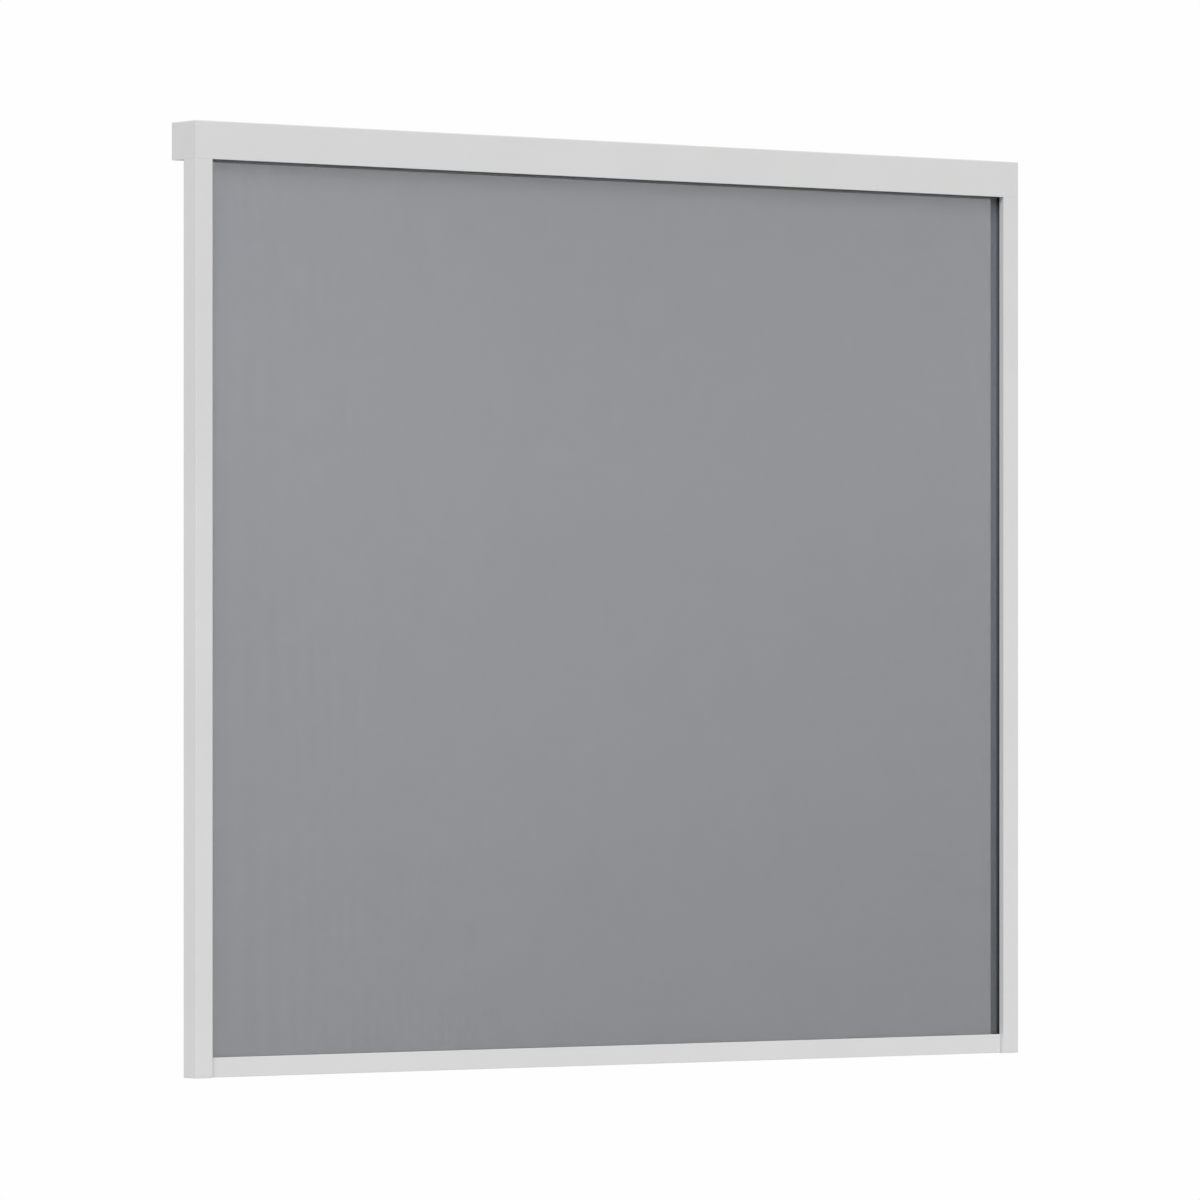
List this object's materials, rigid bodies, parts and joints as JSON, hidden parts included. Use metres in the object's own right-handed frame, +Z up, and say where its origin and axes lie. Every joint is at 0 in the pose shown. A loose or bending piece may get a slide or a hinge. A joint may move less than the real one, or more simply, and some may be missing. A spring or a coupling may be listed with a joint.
{
  "type": "roller mesh screen",
  "caption": "Framed roller mesh screen: a deep top cassette with a spring roller, two slotted guide rails and a pull bar that draws the mesh sheet down.",
  "frame": {"origin": "middle of the width and depth, at the bottom of the guide rails, where they stand on the sill", "axes": "+X to the right along the cassette, +Y from the flush front face to the back, +Z up; the mesh is drawn down"},
  "size_m": [1, 0.041, 0.9],
  "materials": {
    "coated": "satin light grey powder coat on extruded aluminium",
    "moulded": "fine matt moulded plastic in the frame's light grey",
    "pile": "black brush pile",
    "rubber": "matt black rubber",
    "steel": "zinc-plated",
    "mill": "mill-finish extruded",
    "nylon": "matt dark grey nylon",
    "fibre": "coated fibreglass mesh thread, dark grey"
  },
  "bodies": {
    "frame": {"cassette_shell": "coated", "guide_rail_left": "coated", "guide_rail_right": "coated", "end_cap_left": "moulded", "end_cap_right": "moulded", "rail_foot_left": "moulded", "rail_foot_right": "moulded", "cassette_brush_front": "pile", "cassette_brush_rear": "pile", "rail_brush_left_front": "pile", "rail_brush_left_rear": "pile", "rail_brush_right_front": "pile", "rail_brush_right_rear": "pile", "top_buffer_left": "rubber", "top_buffer_right": "rubber", "bottom_catch_left": "steel", "bottom_catch_right": "steel", "connector_screw_left": "steel", "connector_screw_right": "steel", "idler_pin": "steel", "spring_shaft": "steel", "torsion_spring": "steel", "spring_anchor": "nylon", "mesh_screen": "fibre"},
    "roller": {"roller_tube": "mill", "roller_idler_plug": "nylon", "roller_spring_bush": "nylon", "roller_spline": "nylon", "mesh_roll": "fibre"},
    "bar": {"pull_bar": "coated", "bar_end_cap_left": "moulded", "bar_end_cap_right": "moulded", "bar_seal": "rubber", "bar_spline": "nylon"}
  },
  "joints": [
    {"name": "bar_slide", "type": "slide", "parent": "frame", "child": "bar", "axis": [0, 0, 1], "range_m": [0, 0.842], "deforming": ["mesh_screen"]},
    {"name": "roller_spin", "type": "hinge", "parent": "frame", "child": "roller", "pos_m": [0, -0.0013, 0.882], "axis": [-1, 0, 0], "range_deg": [0, 4170]}
  ],
  "couplings": [
    {"joint": "roller_spin", "follows": "bar_slide", "rad_per_m": 86.2}
  ]
}
